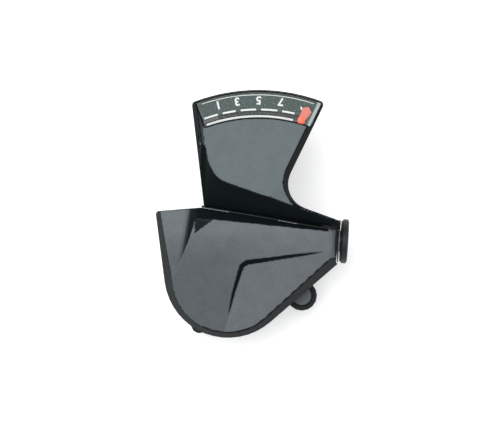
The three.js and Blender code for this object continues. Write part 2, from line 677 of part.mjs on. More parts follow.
// ---- Main body ----------------------------------------------------------------------------------
const BODY_FLOOR_Z = BODY_BOTTOM_Z + FLOOR_THICKNESS;
const BOLT = { x: 0, y: -16.8 };
const BOLT_HEAD_RADIUS = 4.25;
const LUG_LOW = BODY_TOP_Z - 2.7;
const pawlPivot = (angle) => polar(AXLE, PAWL_PIVOT_RADIUS, angle);
const feedSlot = () => prism(sector(AXLE, PAWL_PIVOT_RADIUS - 1.3, PAWL_PIVOT_RADIUS + 1.3,
  FEED_PAWL_ANGLE - 5, FEED_PAWL_ANGLE + LEVER_STROKE + 5), -20, 0);
const boltRoom = () => disc(BOLT, BOLT_HEAD_RADIUS + 0.6, -20, LUG_LOW - 0.5);

function mainBody() {
  const tray = cut(
    prism(outline(coverCorners, BODY_INSET), BODY_BOTTOM_Z, BODY_TOP_Z),
    prism(outline(coverCorners, BODY_INSET + BODY_WALL), BODY_FLOOR_Z, 0));
  const lug = block([-5, -22.6, LUG_LOW], [5, -BAND_RADIUS - GAP, BODY_TOP_Z]);
  const saddle = new THREE.CylinderGeometry(BAND_RADIUS + GAP, BAND_RADIUS + GAP, 60, 40);
  const boss = cableRod(NECK_BOSS_RADIUS, NECK_START, NECK_END, 28);
  const posts = indicatorPosts.map((p) => disc(p, 1.9, BODY_FLOOR_Z - 1, INDICATOR_LOW - GAP, 16));
  const axleBoss = ring(AXLE, 5, AXLE_RADIUS + 0.15, BODY_BOTTOM_Z, BODY_FLOOR_Z, 24);
  const clearance = turned(AXLE, [[0, BODY_FLOOR_Z], [TOOTH_TIP + GAP, BODY_FLOOR_Z],
    [TOOTH_TIP + GAP, 3.2], [0, 3.2]], 30);
  return cut(
    join(tray, lug, boss, axleBoss, ...posts),
    toSolid(saddle.rotateZ(Math.PI / 2)), clearance,
    disc(BOLT, CLAMP_BOLT_RADIUS + 0.2, -20, 5), boltRoom(),
    prism(sector(AXLE, 10, 16.9, POSITION_PAWL_ANGLE - 8, POSITION_PAWL_ANGLE + 27),
      BODY_FLOOR_Z, 0),
    disc(AXLE, AXLE_RADIUS + 0.15, -20, 5),
    cableRod(BARREL_RADIUS + 0.35, NECK_START + 3, NECK_END + 1),
    cableRod(1.6, -2, NECK_START + 4, 12),
    feedSlot(),
    disc(pawlPivot(POSITION_PAWL_ANGLE), 1.05, BODY_BOTTOM_Z + 0.8, 0, 12),
    capSeat(2.75, 1.5),
    ...coverPosts.map((p) => disc(p, POST_RADIUS + GAP, BODY_FLOOR_Z, 6, 14)),
    ...coverPosts.map((p) => disc(p, 1.4, -20, 0, 12)),
    ...indicatorPosts.map((p) => disc(p, 0.95, BODY_FLOOR_Z, 5, 12)));
}

// The cable port in the left wall, closed by a screw cap.
const capPlace = polar(onNose(LEFT_TANGENT), 11, LEFT_TANGENT - 90);

function capSeat(radius, depth) {
  const seat = new THREE.CylinderGeometry(radius, radius, depth, 20);
  const axis = polar({ x: 0, y: 0 }, 1, LEFT_TANGENT);
  seat.rotateZ(Math.PI / 2).rotateZ(radians(LEFT_TANGENT));
  const inset = BODY_INSET - 0.1 + depth / 2;
  seat.translate(capPlace.x - axis.x * inset, capPlace.y - axis.y * inset, -5);
  return toSolid(seat);
}

const innerHoleCap = () => cut(capSeat(2.5, 1.2), slotAcrossCap());

function slotAcrossCap() {
  const slot = new THREE.BoxGeometry(1, 3, 0.7);
  slot.rotateZ(radians(LEFT_TANGENT));
  const axis = polar({ x: 0, y: 0 }, 1, LEFT_TANGENT);
  const inset = BODY_INSET - 0.1;
  slot.translate(capPlace.x - axis.x * inset, capPlace.y - axis.y * inset, -5);
  return toSolid(slot);
}

// ---- Clamp --------------------------------------------------------------------------------------
const UPPER_EAR_LOW = BODY_TOP_Z + GAP;
const LOWER_EAR_TOP = LUG_LOW - 1;

function clampBand() {
  const half = BAND_WIDTH / 2;
  const hoop = new THREE.CylinderGeometry(BAND_RADIUS, BAND_RADIUS, BAND_WIDTH, 40);
  const bore = new THREE.CylinderGeometry(BAR_RADIUS, BAR_RADIUS, BAND_WIDTH + 2, 40);
  const ear = (low) => prism(outline([
    { x: 5, y: -8 }, { x: -5, y: -8 }, { x: -5, y: -18.9, r: 2.5 }, { x: 5, y: -18.9, r: 2.5 },
  ]), low, low + EAR_THICKNESS);
  return cut(
    join(toSolid(hoop.rotateZ(Math.PI / 2)), ear(UPPER_EAR_LOW),
      ear(LOWER_EAR_TOP - EAR_THICKNESS)),
    toSolid(bore.rotateZ(Math.PI / 2)),
    block([-half - 1, -20, LOWER_EAR_TOP], [half + 1, -5, UPPER_EAR_LOW]),
    disc(BOLT, CLAMP_BOLT_RADIUS + 0.2, -20, 10));
}

function hexKeyScrew(centre, radius, headRadius, headLow, headHigh, top, keyRadius) {
  return cut(
    join(disc(centre, headRadius, headLow, headHigh), disc(centre, radius, headHigh, top, 20)),
    disc(centre, keyRadius, headLow - 1, headLow + (headHigh - headLow) * 0.6, 6));
}

const clampBolt = () => hexKeyScrew(BOLT, CLAMP_BOLT_RADIUS, BOLT_HEAD_RADIUS,
  LOWER_EAR_TOP - EAR_THICKNESS - GAP - 4.6, LOWER_EAR_TOP - EAR_THICKNESS - GAP,
  UPPER_EAR_LOW + EAR_THICKNESS - 0.2, 2.9);

// ---- Cable adjuster -----------------------------------------------------------------------------
const BARREL_RADIUS = 3.3;
const KNOB_START = NECK_END + 0.9;
const KNOB_END = KNOB_START + KNOB_LENGTH;

function adjusterKnob() {
  const body = cableRod(KNOB_RADIUS - KNOB_GROOVE, KNOB_START, KNOB_END, 36);
  const collar = cableRod(KNOB_RADIUS, KNOB_START + KNOB_GROOVE, KNOB_END - 0.25, 36);
  return cut(join(body, collar), cableRod(BARREL_RADIUS + GAP, KNOB_START - 1, KNOB_END + 1));
}

const adjusterWasher = () => cut(
  cableRod(KNOB_RADIUS - 0.25, NECK_END + 0.2, NECK_END + 0.6),
  cableRod(BARREL_RADIUS + GAP, NECK_END - 1, KNOB_END));

const adjusterBarrel = () => cut(
  cableRod(BARREL_RADIUS, NECK_START + 6, KNOB_END - 0.1),
  cableRod(1.2, NECK_START, KNOB_END + 1, 16),
  cableRod(FERRULE_RADIUS - 0.55, KNOB_END - 6, KNOB_END + 1, 20));

// ---- Axle, drum and ratchet -----------------------------------------------------------------------
const DRUM_LOW = DRUM_TOP_Z - DRUM_THICKNESS;
const RATCHET_TOP = DRUM_LOW - GAP;
const RATCHET_LOW = RATCHET_TOP - RATCHET_THICKNESS;
const BASE_TOP = BODY_BOTTOM_Z - GAP;
const BASE_LOW = BASE_TOP - 1.5;
const MAIN_TOP = BASE_LOW - GAP;
const MAIN_LOW = MAIN_TOP - PLATE_THICKNESS;
const RELEASE_TOP = MAIN_LOW - GAP;
const RELEASE_LOW = RELEASE_TOP - PLATE_THICKNESS;
const AXLE_TOP = 3.1;
const SPRING_SPACE = 2.2;
const NUT_TOP = RELEASE_LOW - 2 * SPRING_SPACE - 4 * GAP - 0.6;
const NUT_LOW = NUT_TOP - 1.8;
const AXLE_LOW = NUT_LOW - 0.5;
const HOLE = AXLE_RADIUS + 1.2;        // lever holes run on a bush 1 mm thick

function mainAxle() {
  const groove = AXLE_RADIUS - 0.6;
  return turned(AXLE, [
    [0, AXLE_LOW], [AXLE_RADIUS - 0.4, AXLE_LOW], [AXLE_RADIUS, AXLE_LOW + 0.4],
    [AXLE_RADIUS, DRUM_TOP_Z + 0.2], [groove, DRUM_TOP_Z + 0.2], [groove, DRUM_TOP_Z + 0.8],
    [AXLE_RADIUS - 0.3, DRUM_TOP_Z + 0.8], [AXLE_RADIUS - 0.3, AXLE_TOP], [0, AXLE_TOP],
  ], 24);
}

const axleClip = () => cut(
  disc(AXLE, 4.1, DRUM_TOP_Z + 0.25, DRUM_TOP_Z + 0.75),
  disc(AXLE, AXLE_RADIUS - 0.5, 0, 5),
  block([AXLE.x - 1.8, AXLE.y - 6, 0], [AXLE.x + 1.8, AXLE.y, 5]));

const axleNut = () => cut(disc(AXLE, 4.6, NUT_LOW, NUT_TOP, 6), disc(AXLE, AXLE_RADIUS + 0.15, -40, 0));
const axleBush = () => ring(AXLE, AXLE_RADIUS + 1, AXLE_RADIUS + 0.15, RELEASE_LOW, BASE_LOW - 0.1);

function cableDrum() {
  const bore = AXLE_RADIUS + 0.3;
  const body = turned(AXLE, [
    [bore, DRUM_LOW], [4.6, DRUM_LOW], [4.6, DRUM_LOW + 2.9], [9.6, DRUM_LOW + 2.9],
    [9.6, DRUM_LOW], [DRUM_FLANGE, DRUM_LOW], [DRUM_FLANGE, CABLE_Z - 1.1],
    [CABLE_RADIUS - 0.6, CABLE_Z - 0.4], [CABLE_RADIUS - 0.6, CABLE_Z + 0.4],
    [DRUM_FLANGE, CABLE_Z + 1.1], [DRUM_FLANGE, DRUM_TOP_Z], [bore, DRUM_TOP_Z],
  ], 24);
  // The cam groove that drives the pointer: the pin's path as the drum sees it.
  const steps = 8;
  const path = Array.from({ length: steps + 1 }, (_, k) => {
    const turn = (GEARS - 1) * STEP_ANGLE * (k / steps * 1.04 - 0.02);
    const pin = drivePin(turn * POINTER_RATIO);
    return pin.rotateAround(AXLE_POINT, -radians(turn));
  });
  const groove = path.slice(1).map((p, k) => bar(
    path[k], p, DRIVE_PIN_RADIUS + 0.25, DRUM_TOP_Z - 1.2, DRUM_TOP_Z + 1));
  const nipple = polar(AXLE, CABLE_RADIUS - 1.6, 90 + CABLE_ANGLE + 20);
  return cut(body, ...groove, disc(nipple, 1.7, CABLE_Z - 1, DRUM_TOP_Z + 1, 16));
}

const AXLE_POINT = new THREE.Vector2(AXLE.x, AXLE.y);

function ratchetPlate() {
  const teeth = 360 / STEP_ANGLE;
  const points = [];
  for (let k = 0; k < teeth; k += 1) {
    const face = toothPhase + k * STEP_ANGLE;
    points.push(polar(AXLE, TOOTH_TIP, face), polar(AXLE, TOOTH_TIP, face + 1.2),
      polar(AXLE, TOOTH_ROOT, face + STEP_ANGLE - 0.6));
  }
  return cut(prism(points, RATCHET_LOW, RATCHET_TOP), disc(AXLE, AXLE_RADIUS + GAP, -20, 0));
}

// ---- Pawls: a round eye with a finger that ends in a nose ----------------------------------------
const FACE_AHEAD = 19.4;               // from a pawl's pivot to the tooth face that it pushes
const toothPhase = FEED_PAWL_ANGLE + FACE_AHEAD;

function pawl(angle) {
  const pivot = pawlPivot(angle);
  const finger = [[0, 1.45], [PAWL_LENGTH - 0.3, 0.9], [PAWL_LENGTH, 0.5], [PAWL_LENGTH, -0.85],
    [PAWL_LENGTH - 0.7, -0.85], [PAWL_LENGTH - 1.4, 0.2], [1, -0.6], [0, -0.8]];
  const direction = angle + 90 + PAWL_LEAN;
  const shape = finger.map(([along, out]) => polar(
    polar(pivot, along, direction), out, direction - 90));
  return cut(
    join(disc(pivot, 1.5, RATCHET_LOW, RATCHET_TOP, 20),
      prism([...shape].reverse(), RATCHET_LOW, RATCHET_TOP)),
    disc(pivot, 1.05, -20, 0, 16));
}

const pawlPin = (angle, low) => disc(pawlPivot(angle), 0.9, low, RATCHET_TOP + 1.2, 16);
const pawlSpring = (angle) => coil(pawlPivot(angle), 1.35, RATCHET_TOP + 0.45, 2, 0.5, 0.18);

// ---- Plates and levers ------------------------------------------------------------------------------
function basePlate() {
  return cut(
    prism(outline(coverCorners, BODY_INSET + 0.8), BASE_LOW, BASE_TOP),
    disc(AXLE, AXLE_RADIUS + 0.15, -20, 0), feedSlot(), boltRoom(),
    ...coverPosts.map((p) => disc(p, 1.4, -20, 0, 12)));
}

function mainLeverPlate() {
  const { angle, reach } = MAIN_PAD;
  const tongueEnd = polar(AXLE, reach - 0.8, angle);
  return cut(
    join(disc(AXLE, 7.5, MAIN_LOW, MAIN_TOP, 24),
      bar(AXLE, tongueEnd, 2.3, MAIN_LOW, MAIN_TOP),
      bar(AXLE, pawlPivot(FEED_PAWL_ANGLE), 2, MAIN_LOW, MAIN_TOP),
      bar(polar(AXLE, MAIN_PAD.inner + 2.4, angle), tongueEnd, 0.8, -21, MAIN_LOW + 0.5)),
    disc(AXLE, HOLE, -20, 0),
    disc(pawlPivot(FEED_PAWL_ANGLE), 1, -20, 0, 16));
}

// The thumb pad: a round-ended bar hanging from the lever, ringed by grip ribs.
function mainLeverPad() {
  const { angle, reach, tip, inner, bottom } = MAIN_PAD;
  const top = MAIN_LOW - GAP;
  const section = (inset) => {
    const end = arcPoints(polar(AXLE, reach, angle), tip - inset, angle - 90, angle + 90, 36);
    const root = arcPoints(polar(AXLE, inner + 1.9, angle), 1.9 - inset, angle + 90, angle + 270, 30);
    return [...end, ...root];
  };
  const sections = [atHeight(section(0.9), bottom), atHeight(section(0.25), bottom + 0.6)];
  const ribs = 5;
  const pitch = (top - bottom - 2.4) / ribs;
  for (let k = 0; k < ribs; k += 1) {
    const low = bottom + 0.9 + k * pitch;
    sections.push(atHeight(section(0), low), atHeight(section(0), low + pitch * 0.45),
      atHeight(section(0.45), low + pitch * 0.6), atHeight(section(0.45), low + pitch * 0.9));
  }
  sections.push(atHeight(section(0), top - 1.2), atHeight(section(0), top));
  const pocket = bar(polar(AXLE, inner + 2.4, angle), polar(AXLE, reach - 0.8, angle),
    1, -21.3, 0);
  return cut(loft(sections), pocket);
}

function releaseLeverPlate() {
  const tab = polar(AXLE, RELEASE_TAB.reach, RELEASE_TAB.angle);
  return cut(
    join(disc(AXLE, 6.5, RELEASE_LOW, RELEASE_TOP, 24),
      bar(AXLE, tab, 2.5, RELEASE_LOW, RELEASE_TOP),
      bar(AXLE, polar(AXLE, 15, RELEASE_TAB.angle), 3.6, RELEASE_LOW, RELEASE_TOP)),
    disc(AXLE, HOLE, -20, 0));
}

function releaseLeverTab() {
  const centre = polar(AXLE, RELEASE_TAB.reach, RELEASE_TAB.angle);
  const top = RELEASE_TOP + 1.7;
  const radius = RELEASE_TAB.r;
  const rows = [[0, RELEASE_TAB.bottom], [radius - 0.9, RELEASE_TAB.bottom],
    [radius - 0.1, RELEASE_TAB.bottom + 0.9]];
  const ribs = 3;
  const low = RELEASE_TAB.bottom + 1.4;
  const pitch = (RELEASE_LOW - 0.8 - low) / ribs;
  for (let k = 0; k < ribs; k += 1) {
    const z = low + k * pitch;
    rows.push([radius, z], [radius, z + pitch * 0.5], [radius - 0.4, z + pitch * 0.65],
      [radius - 0.4, z + pitch * 0.9]);
  }
  rows.push([radius, RELEASE_LOW - 0.6], [radius, top - 0.3], [radius - 0.3, top], [0, top]);
  return cut(turned(centre, rows, 16),
    bar(polar(AXLE, 15, RELEASE_TAB.angle), centre, 2.7, RELEASE_LOW - 0.2, RELEASE_TOP + 0.2),
    disc(centre, TAB_CAP_RADIUS + 0.15, RELEASE_TOP + 0.5, top + 1));
}

const TAB_CAP_RADIUS = 3;
const releaseTabCap = () => disc(polar(AXLE, RELEASE_TAB.reach, RELEASE_TAB.angle),
  TAB_CAP_RADIUS, RELEASE_TOP + 0.65, RELEASE_TOP + 1.45);

const tapScrew = (centre, headLow, top, radius, headRadius) => cut(
  join(disc(centre, headRadius, headLow, headLow + 1, 14),
    disc(centre, radius, headLow + 1, top, 8)),
  block([centre.x - 1.2, centre.y - 0.25, headLow - 1], [centre.x + 1.2, centre.y + 0.25, headLow + 0.5]),
  block([centre.x - 0.25, centre.y - 1.2, headLow - 1], [centre.x + 0.25, centre.y + 1.2, headLow + 0.5]));

// A screw that goes in from above, head up.
const topScrew = (centre, low, headTop) => cut(
  join(disc(centre, 1.9, headTop - 0.9, headTop, 14), disc(centre, 0.8, low, headTop - 0.9, 8)),
  block([centre.x - 1, centre.y - 0.22, headTop - 0.4], [centre.x + 1, centre.y + 0.22, headTop + 1]),
  block([centre.x - 0.22, centre.y - 1, headTop - 0.4], [centre.x + 0.22, centre.y + 1, headTop + 1]));

// ---- Assembly -------------------------------------------------------------------------------------
const shifter = new THREE.Group();

function place(name, form, look) {
  const geometry = form instanceof THREE.BufferGeometry ? form : toGeometry(form);
  const mesh = new THREE.Mesh(geometry, new THREE.MeshStandardMaterial(look));
  mesh.name = name;
  shifter.add(mesh);
}

place('clamp_band', clampBand(), ALUMINIUM);
place('clamp_bolt', clampBolt(), DARK_STEEL);
place('main_body', mainBody(), BLACK_PLASTIC);
place('base_plate', basePlate(), STEEL);
place('inner_hole_cap', innerHoleCap(), BLACK_PLASTIC);
place('top_cover', topCover(), COVER_PLASTIC);
place('display_housing', displayHousing(), COVER_PLASTIC);
place('scale_plate', scalePlate(), INNER_PLASTIC);
place('display_lens', displayLens(), CLEAR_PLASTIC);
place('indicator_base', indicatorBase(), INNER_PLASTIC);
place('pointer', pointer(), ORANGE_PLASTIC);
place('pointer_pivot_pin', join(
  disc(PIVOT, 1.1, DRUM_TOP_Z + 0.9, ARM_LOW + 1.1, 16),
  disc(PIVOT, 1.9, ARM_LOW + 1.1, ARM_LOW + 1.6, 16)), STEEL);
place('main_axle', mainAxle(), STEEL);
place('axle_clip', axleClip(), DARK_STEEL);
place('axle_bush', axleBush(), BRASS);
place('axle_nut', axleNut(), DARK_STEEL);
place('axle_washer', ring(AXLE, 5.6, AXLE_RADIUS + 0.15,
  RELEASE_LOW - SPRING_SPACE - 2 * GAP - 0.6, RELEASE_LOW - SPRING_SPACE - 2 * GAP), STEEL);
place('cable_drum', cableDrum(), INNER_PLASTIC);
place('ratchet_plate', ratchetPlate(), STEEL);
place('drum_return_spring', coil(AXLE, 7.1, DRUM_LOW + 0.75, 2, 0.85, 0.35), STEEL);
place('main_lever_plate', mainLeverPlate(), STEEL);
place('main_lever_pad', mainLeverPad(), PAD_RUBBER);
place('release_lever_plate', releaseLeverPlate(), STEEL);
place('release_lever_tab', releaseLeverTab(), PAD_RUBBER);
place('release_tab_cap', releaseTabCap(), GREY_INSERT);
place('release_lever_spring', coil(AXLE, 4.4, RELEASE_LOW - GAP - 1.75, 2, 0.8, 0.3), STEEL);
place('main_lever_spring', coil(AXLE, 4.4, NUT_TOP + GAP + 0.4, 2, 0.8, 0.3), STEEL);
place('feed_pawl', pawl(FEED_PAWL_ANGLE), STEEL);
place('feed_pawl_pin', pawlPin(FEED_PAWL_ANGLE, MAIN_LOW), DARK_STEEL);
place('feed_pawl_spring', pawlSpring(FEED_PAWL_ANGLE), STEEL);
place('position_pawl', pawl(POSITION_PAWL_ANGLE), STEEL);
place('position_pawl_pin', pawlPin(POSITION_PAWL_ANGLE, BODY_BOTTOM_Z + 1), DARK_STEEL);
place('position_pawl_spring', pawlSpring(POSITION_PAWL_ANGLE), STEEL);
place('adjuster_knob', adjusterKnob(), BLACK_PLASTIC);
place('adjuster_washer', adjusterWasher(), GREY_INSERT);
place('adjuster_barrel', adjusterBarrel(), DARK_STEEL);
coverPosts.forEach((p, i) => {
  place(`cover_screw_${i + 1}`, tapScrew(p, BASE_LOW - 1.2, 1.5, 0.95, 2.3), DARK_STEEL);
});
indicatorPosts.forEach((p, i) => {
  place(`indicator_screw_${i + 1}`, topScrew(p, -2, INDICATOR_TOP + 1.1), DARK_STEEL);
});
displayPosts.forEach((p, i) => {
  place(`display_screw_${i + 1}`, tapScrew(p, DISPLAY_PLATE_LOW - 1.15,
    DISPLAY_TOP_Z - 2.9, 0.75, 1.9), DARK_STEEL);
});

export default shifter;
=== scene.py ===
# %% [markdown]
# # A thumb shifter for a bicycle
#
# The shifter sits under the handlebar. A drum winds the gear cable, two levers turn and
# release the drum, and a fan-shaped display over the clamp shows the gear.
# The shape of every part comes from a solid model, which is loaded first. Its sizes are
# estimates.
# What is made here is the finish: soft moulded edges, paint, print, rubber and metal.

# %% Load the solid model
import json
from math import cos, radians, sin
import bmesh
import bpy
from mathutils import Matrix, Vector

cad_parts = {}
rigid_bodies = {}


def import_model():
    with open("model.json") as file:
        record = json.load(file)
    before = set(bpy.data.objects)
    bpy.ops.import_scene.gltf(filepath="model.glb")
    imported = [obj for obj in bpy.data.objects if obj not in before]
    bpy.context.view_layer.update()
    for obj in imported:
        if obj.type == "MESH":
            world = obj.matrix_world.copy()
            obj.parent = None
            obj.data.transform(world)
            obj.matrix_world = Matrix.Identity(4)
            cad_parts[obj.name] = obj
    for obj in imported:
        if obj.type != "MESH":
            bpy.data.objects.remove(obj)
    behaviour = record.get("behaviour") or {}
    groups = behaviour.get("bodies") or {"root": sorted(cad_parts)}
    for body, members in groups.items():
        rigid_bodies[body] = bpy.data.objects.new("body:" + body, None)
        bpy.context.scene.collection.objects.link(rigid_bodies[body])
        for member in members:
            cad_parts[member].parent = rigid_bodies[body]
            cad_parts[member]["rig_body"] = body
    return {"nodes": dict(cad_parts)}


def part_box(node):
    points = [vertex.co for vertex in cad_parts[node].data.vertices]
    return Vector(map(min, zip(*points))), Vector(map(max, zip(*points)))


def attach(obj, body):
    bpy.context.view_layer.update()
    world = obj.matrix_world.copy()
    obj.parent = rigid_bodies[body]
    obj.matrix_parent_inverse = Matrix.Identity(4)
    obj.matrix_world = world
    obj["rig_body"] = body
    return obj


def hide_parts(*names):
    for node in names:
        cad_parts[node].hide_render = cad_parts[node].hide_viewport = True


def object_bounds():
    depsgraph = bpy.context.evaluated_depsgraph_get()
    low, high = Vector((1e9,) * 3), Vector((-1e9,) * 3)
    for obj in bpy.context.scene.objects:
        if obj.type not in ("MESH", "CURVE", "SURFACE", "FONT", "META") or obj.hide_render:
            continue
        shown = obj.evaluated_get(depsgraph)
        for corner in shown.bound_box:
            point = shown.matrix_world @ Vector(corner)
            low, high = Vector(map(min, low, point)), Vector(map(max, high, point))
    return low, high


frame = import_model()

MM = 0.001
model_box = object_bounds()
print("the solid model has", len(frame["nodes"]), "parts")

# %% [markdown]
# ## Camera
# The shifter is seen from straight above, as in a catalogue. A long lens far away keeps
# the sides upright, so nearly no wall shows. Turned by nothing at all, a camera looks
# straight down with the top of the picture towards +Y, which is what we need.

# %% Camera
VIEW_CENTRE = Vector((1.65, -19.44, 0)) * MM
VIEW_WIDTH = 150.6 * MM
CAMERA_HEIGHT = 1.5
TOP_OF_SHIFTER = 14 * MM

camera = bpy.data.objects.new("camera", bpy.data.cameras.new("camera"))
camera.data.type = "PERSP"
camera.data.sensor_width = 36
camera.data.lens = camera.data.sensor_width * CAMERA_HEIGHT / VIEW_WIDTH
camera.data.clip_start = 0.05
camera.data.clip_end = 20
camera.location = VIEW_CENTRE + Vector((0, 0, CAMERA_HEIGHT + TOP_OF_SHIFTER))
bpy.context.collection.objects.link(camera)
bpy.context.scene.camera = camera
print("lens", round(camera.data.lens), "mm")

# %% [markdown]
# ## Colours and nodes
# Colours are written as the hex numbers of a paint program, which are stored bent for
# the eye. The renderer needs them linear, so one function turns them.
# Another small function adds a shader node, sets it and links it.

# %% Colours and nodes
def linear(hex_colour):
    parts = [int(hex_colour[i:i + 2], 16) / 255 for i in (1, 3, 5)]
    bent = [p / 12.92 if p <= 0.04045 else ((p + 0.055) / 1.055) ** 2.4 for p in parts]
    return (*bent, 1)


def add_node(material, kind, settings=None, links=None):
    node = material.node_tree.nodes.new(kind)
    for name, value in (settings or {}).items():
        if name in node.inputs:
            node.inputs[name].default_value = value
        else:
            setattr(node, name, value)
    for name, source in (links or {}).items():
        material.node_tree.links.new(source, node.inputs[name])
    return node


def new_material(name, colour, roughness, metallic=0.0, **others):
    material = bpy.data.materials.new(name)
    material.use_nodes = True
    shader = material.node_tree.nodes["Principled BSDF"]
    shader.inputs["Base Color"].default_value = linear(colour)
    shader.inputs["Roughness"].default_value = roughness
    shader.inputs["Metallic"].default_value = metallic
    for socket, value in others.items():
        shader.inputs[socket.replace("_", " ")].default_value = value
    return material, shader


print("white is", linear("#ffffff"))

# %% [markdown]
# ## Floor and light
# A plain pale floor lies just under the lowest lever. The light is a white room, plus one big
# soft box high above, so what faces up is bright and every steep side falls off to dark.

# %% Floor and light
FLOOR_SIZE = 3.0
PAPER_GLOW = 0.38  # the paper lies on a light table, so that no hard shadow shows on it
FLOOR_GAP = 0.2 * MM
ROOM_STRENGTH = 0.62
lowest = model_box[0][2]

bpy.ops.mesh.primitive_plane_add(size=FLOOR_SIZE, location=(0, 0, lowest - FLOOR_GAP))
floor = bpy.context.object
floor.name = "floor"
floor_paper, paper_shader = new_material("pale_paper_floor", "#f7f8f8", 0.9,
                                         Emission_Strength=PAPER_GLOW)
paper_shader.inputs["Emission Color"].default_value = linear("#ffffff")
floor.data.materials.append(floor_paper)

bpy.context.scene.view_settings.view_transform = "Standard"
room = bpy.data.worlds.new("white_room")
room.use_nodes = True
room.node_tree.nodes["Background"].inputs["Color"].default_value = linear("#ffffff")
room.node_tree.nodes["Background"].inputs["Strength"].default_value = ROOM_STRENGTH
bpy.context.scene.world = room


def soft_box(name, place, aim, size, power):
    lamp = bpy.data.lights.new(name, "AREA")
    lamp.size = size
    lamp.energy = power
    box = bpy.data.objects.new(name, lamp)
    box.location = place
    box.rotation_euler = (Vector(aim) - Vector(place)).to_track_quat("-Z", "Y").to_euler()
    bpy.context.collection.objects.link(box)


soft_box("overhead_box", (-0.25, 0.2, 1.1), (0, -0.02, 0), 0.7, 9.0)
print("floor at", round(floor.location.z / MM, 1), "mm")

# %% [markdown]
# ## Finishes
# Nearly all of the shifter is moulded plastic. A mould leaves a fine grain, like very
# fine leather, which scatters the light a little: that is a noise in the colour and a
# tiny bump. The real grain is about 0.2 mm; it is drawn at 0.45 mm, or it would not show.

# %% Grain of a mould
GRAIN = 0.45
COARSE_GRAIN = 3.5


def mould_grain(material, shader, colour, grain_mm=GRAIN, depth_mm=0.02, contrast=0.1):
    place = add_node(material, "ShaderNodeTexCoord")
    fine = add_node(material, "ShaderNodeTexNoise",
                    {"Scale": 1 / (grain_mm * MM), "Detail": 3.0, "Roughness": 0.6},
                    {"Vector": place.outputs["Object"]})
    cloudy = add_node(material, "ShaderNodeTexNoise",
                      {"Scale": 1 / (COARSE_GRAIN * MM), "Detail": 2.0},
                      {"Vector": place.outputs["Object"]})
    both = add_node(material, "ShaderNodeMix", {"data_type": "FLOAT", "Factor": 0.35},
                    {"A": fine.outputs["Fac"], "B": cloudy.outputs["Fac"]})
    base = linear(colour)
    shade = add_node(material, "ShaderNodeValToRGB", links={"Fac": both.outputs["Result"]})
    shade.color_ramp.elements[0].position = 0.35
    shade.color_ramp.elements[0].color = (*(c * (1 - contrast) for c in base[:3]), 1)
    shade.color_ramp.elements[1].position = 0.65
    shade.color_ramp.elements[1].color = (*(c * (1 + contrast) for c in base[:3]), 1)
    bump = add_node(material, "ShaderNodeBump",
                    {"Strength": 0.6, "Distance": depth_mm * MM},
                    {"Height": fine.outputs["Fac"]})
    links = material.node_tree.links
    links.new(shade.outputs["Color"], shader.inputs["Base Color"])
    links.new(bump.outputs["Normal"], shader.inputs["Normal"])
    return shade


# %% [markdown]
# ### Plastics
# Nylon with glass fibre for the body and the covers, acetal for what slides inside,
# a rubber-like elastomer on the levers, ABS for the small grey inserts.

# %% Plastics
black_nylon, shader = new_material("black_glass_filled_nylon", "#1b2022", 0.5,
                                   Specular_IOR_Level=0.3)
mould_grain(black_nylon, shader, "#1b2022")

grey_acetal, shader = new_material("dark_grey_acetal", "#2b3033", 0.42)
mould_grain(grey_acetal, shader, "#2b3033", 0.8, 0.008, 0.06)

lever_rubber, shader = new_material("thermoplastic_rubber", "#262f2e", 0.78,
                                    Specular_IOR_Level=0.25)
mould_grain(lever_rubber, shader, "#262f2e", 0.4, 0.03, 0.14)

grey_abs, shader = new_material("grey_abs_insert", "#5c6668", 0.45)
mould_grain(grey_abs, shader, "#5c6668", 0.5, 0.01, 0.08)

orange_abs, shader = new_material("orange_abs_pointer", "#e4561a", 0.35)
mould_grain(orange_abs, shader, "#e4561a", 0.4, 0.01, 0.08)

# A small glow is added to the spot's orange, though nothing lights it from inside: a painted glow.
painted_glow_orange, shader = new_material("painted_glow_orange_abs", "#f0591a", 0.35,
                                     Emission_Strength=0.12)
shader.inputs["Emission Color"].default_value = linear("#ff5a18")
mould_grain(painted_glow_orange, shader, "#f0591a", 0.4, 0.01, 0.06)

coral_abs, shader = new_material("coral_abs_pointer_head", "#de6a58", 0.4)
mould_grain(coral_abs, shader, "#de6a58", 0.5, 0.01, 0.14)
print("plastics:", black_nylon.name, grey_acetal.name, lever_rubber.name, grey_abs.name)

# %% [markdown]
# ### Satin grey paint
# The two covers are black nylon with a satin grey paint sprayed on what faces up. How much
# grey a point gets follows how far its face looks up, so steep sides go black: partly the
# bare nylon, partly painted shade on every steep face. A number stored on every point of
# the mesh tells the material how much grey lies there, so one material does both.

# %% Satin grey paint
def slope_shade_and_sprayed_nylon(name, paint_colour, bare_and_shaded_colour):
    material, shader = new_material(name, paint_colour, 0.66, IOR=1.15)
    paint = mould_grain(material, shader, paint_colour, contrast=0.12)
    amount = add_node(material, "ShaderNodeAttribute", {"attribute_name": "paint_and_shade"})
    colour = add_node(material, "ShaderNodeMix",
                      {"data_type": "RGBA"}, {"Factor": amount.outputs["Fac"]})
    colour.inputs["A"].default_value = linear(bare_and_shaded_colour)
    material.node_tree.links.new(paint.outputs["Color"], colour.inputs["B"])
    material.node_tree.links.new(colour.outputs["Result"], shader.inputs["Base Color"])
    return material


cover_grey_and_shade = slope_shade_and_sprayed_nylon("satin_grey_and_shade_on_cover", "#6a7073", "#0b1215")
display_grey_and_shade = slope_shade_and_sprayed_nylon("satin_grey_and_shade_on_display", "#656e70", "#0a1113")
print("paints:", cover_grey_and_shade.name, display_grey_and_shade.name)

# %% [markdown]
# ### Metals
# Levers, pawls and the base plate are stamped from steel and plated with zinc, which
# leaves fine lines from the sheet's rolling. Screws are black-plated, the bush is turned
# brass, and the clamp band is aluminium, anodised black.

# %% Metals
LINE_STRETCH = 14.0


